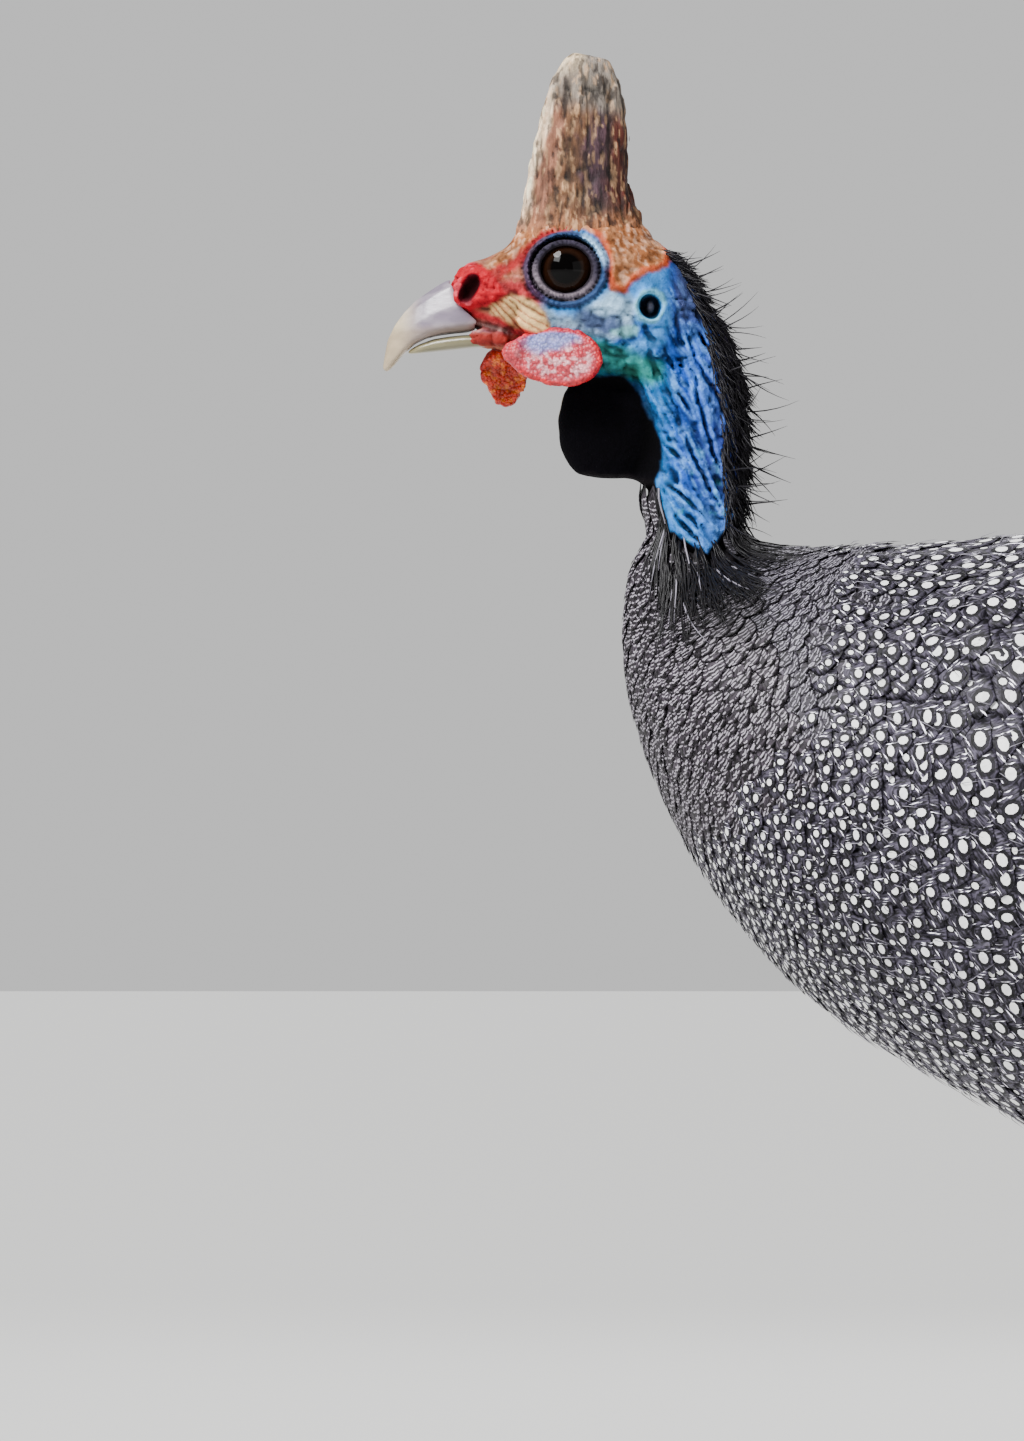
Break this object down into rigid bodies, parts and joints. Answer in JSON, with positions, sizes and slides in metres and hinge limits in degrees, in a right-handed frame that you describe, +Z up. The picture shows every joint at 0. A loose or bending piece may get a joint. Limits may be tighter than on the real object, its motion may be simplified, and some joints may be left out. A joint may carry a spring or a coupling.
{
  "type": "standing guinea fowl",
  "caption": "Life-size helmeted guinea fowl standing still, with tall bony casque, hooked bill, wattles, bare neck, folded wings, spotted plumage and drooping tail",
  "frame": {"origin": "on the floor under the middle of the bird's length and width", "axes": "+Z up, the bird faces -X, its left side is -Y"},
  "size_m": [0.4312, 0.1654, 0.4026],
  "materials": {
    "plumage": "matt feather, dark slate with white spots",
    "collar": "matt feather, finely barred grey-brown",
    "neck_skin": "satin bare skin, blue",
    "face_skin": "satin bare skin, pale blue with red and tan areas",
    "casque_horn": "dull fibrous horn",
    "bill_horn": "satin horn",
    "wattle_skin": "satin skin, red with a pale blue root",
    "eye": "wet gloss",
    "leg_scales": "satin horny scales",
    "claw_horn": "satin horn"
  },
  "bodies": {
    "root": {"torso": "plumage", "tail": "plumage", "wing_left": "plumage", "wing_right": "plumage", "thigh_left": "plumage", "thigh_right": "plumage", "neck_lower": "collar", "neck_upper": "neck_skin", "head": "face_skin", "casque": "casque_horn", "bill_upper": "bill_horn", "bill_lower": "bill_horn", "wattle_left": "wattle_skin", "wattle_right": "wattle_skin", "eye_left": "eye", "eye_right": "eye", "leg_left": "leg_scales", "leg_right": "leg_scales", "claw_middle_left": "claw_horn", "claw_middle_right": "claw_horn", "claw_inner_left": "claw_horn", "claw_inner_right": "claw_horn", "claw_outer_left": "claw_horn", "claw_outer_right": "claw_horn", "claw_hind_left": "claw_horn", "claw_hind_right": "claw_horn"}
  },
  "joints": []
}
